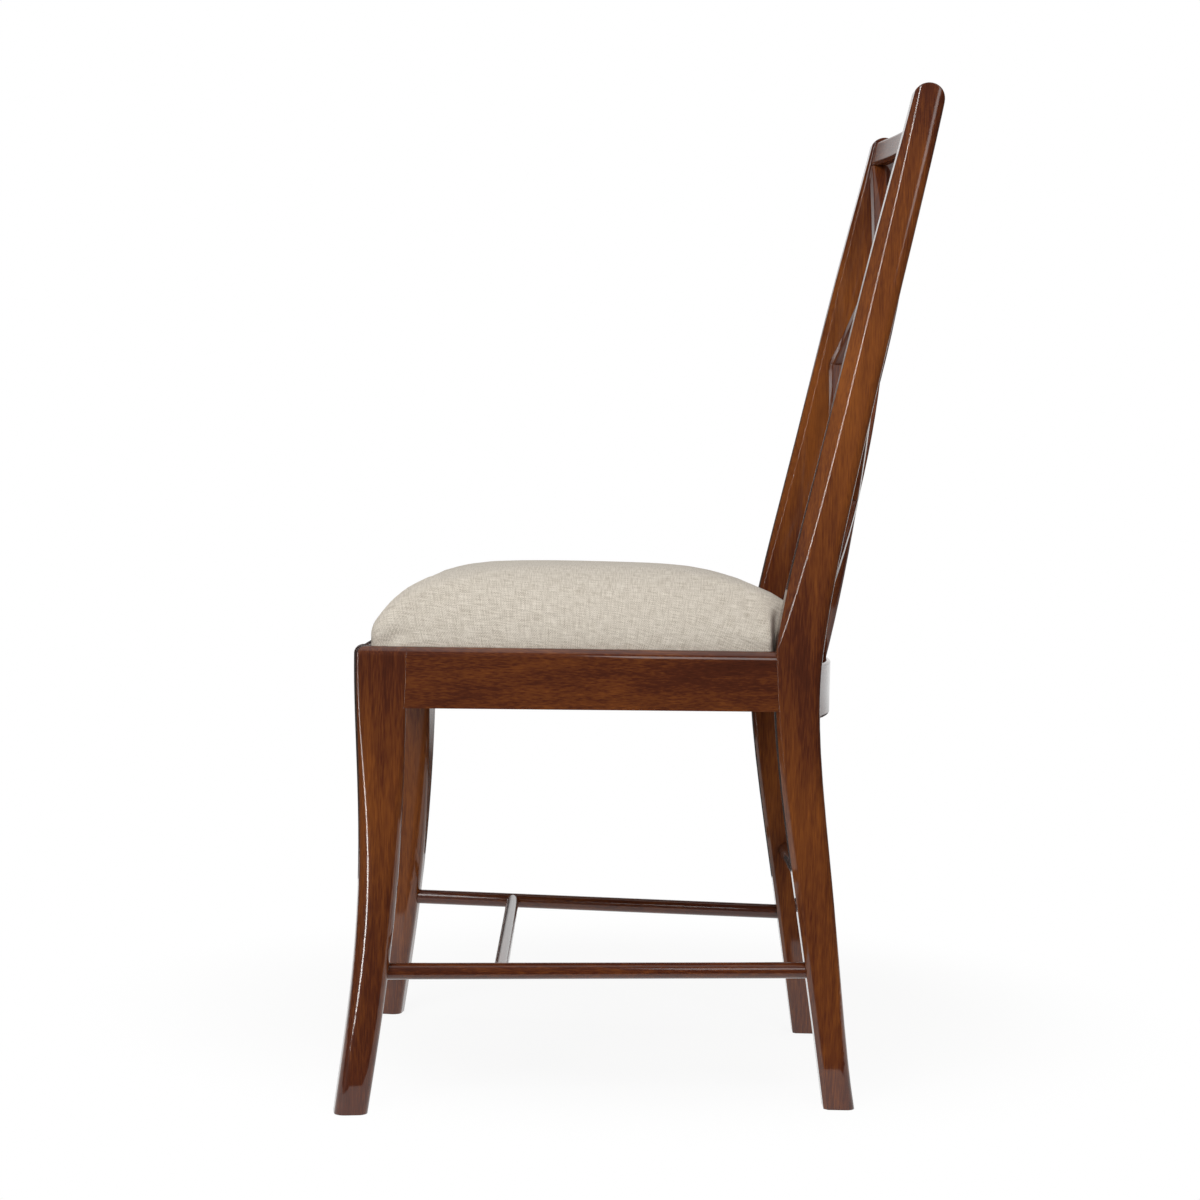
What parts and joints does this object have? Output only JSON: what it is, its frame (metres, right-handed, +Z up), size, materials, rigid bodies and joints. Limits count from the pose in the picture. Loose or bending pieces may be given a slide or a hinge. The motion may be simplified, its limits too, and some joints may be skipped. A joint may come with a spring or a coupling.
{
  "type": "side chair",
  "caption": "Wooden side chair with raked bowed trellis back, sabre front legs, round stretchers and a padded drop-in fabric seat for sitting at a table.",
  "frame": {"origin": "on the floor, midway between the sides and midway between the front toes and the back of the crest", "axes": "+Z up, the front of the seat faces -Y, +X is the sitter's left"},
  "size_m": [0.4956, 0.5665, 0.978],
  "materials": {
    "frame_wood": "gloss lacquer over stained hardwood",
    "hidden_wood": "plain sawn softwood and plywood",
    "screw_steel": "plated steel",
    "seat_fabric": "plain weave linen",
    "seat_filling": "upholstery foam",
    "lining_cloth": "black lining cloth"
  },
  "bodies": {
    "root": {"front_leg_left": "frame_wood", "front_leg_right": "frame_wood", "rear_leg_left": "frame_wood", "rear_leg_right": "frame_wood", "side_rail_left": "frame_wood", "side_rail_right": "frame_wood", "front_seat_rail": "frame_wood", "rear_seat_rail": "frame_wood", "crest_rail": "frame_wood", "cross_bar_rising": "frame_wood", "cross_bar_falling": "frame_wood", "diamond_upper_left": "frame_wood", "diamond_upper_right": "frame_wood", "diamond_lower_left": "frame_wood", "diamond_lower_right": "frame_wood", "side_stretcher_left": "frame_wood", "side_stretcher_right": "frame_wood", "cross_stretcher": "frame_wood", "rear_stretcher": "frame_wood", "front_corner_block_left": "hidden_wood", "front_corner_block_right": "hidden_wood", "rear_corner_block_left": "hidden_wood", "rear_corner_block_right": "hidden_wood", "seat_board": "hidden_wood", "corner_block_screws": "screw_steel", "seat_screws": "screw_steel", "seat_cover": "seat_fabric", "seat_foam": "seat_filling", "dust_cover": "lining_cloth"}
  },
  "joints": []
}
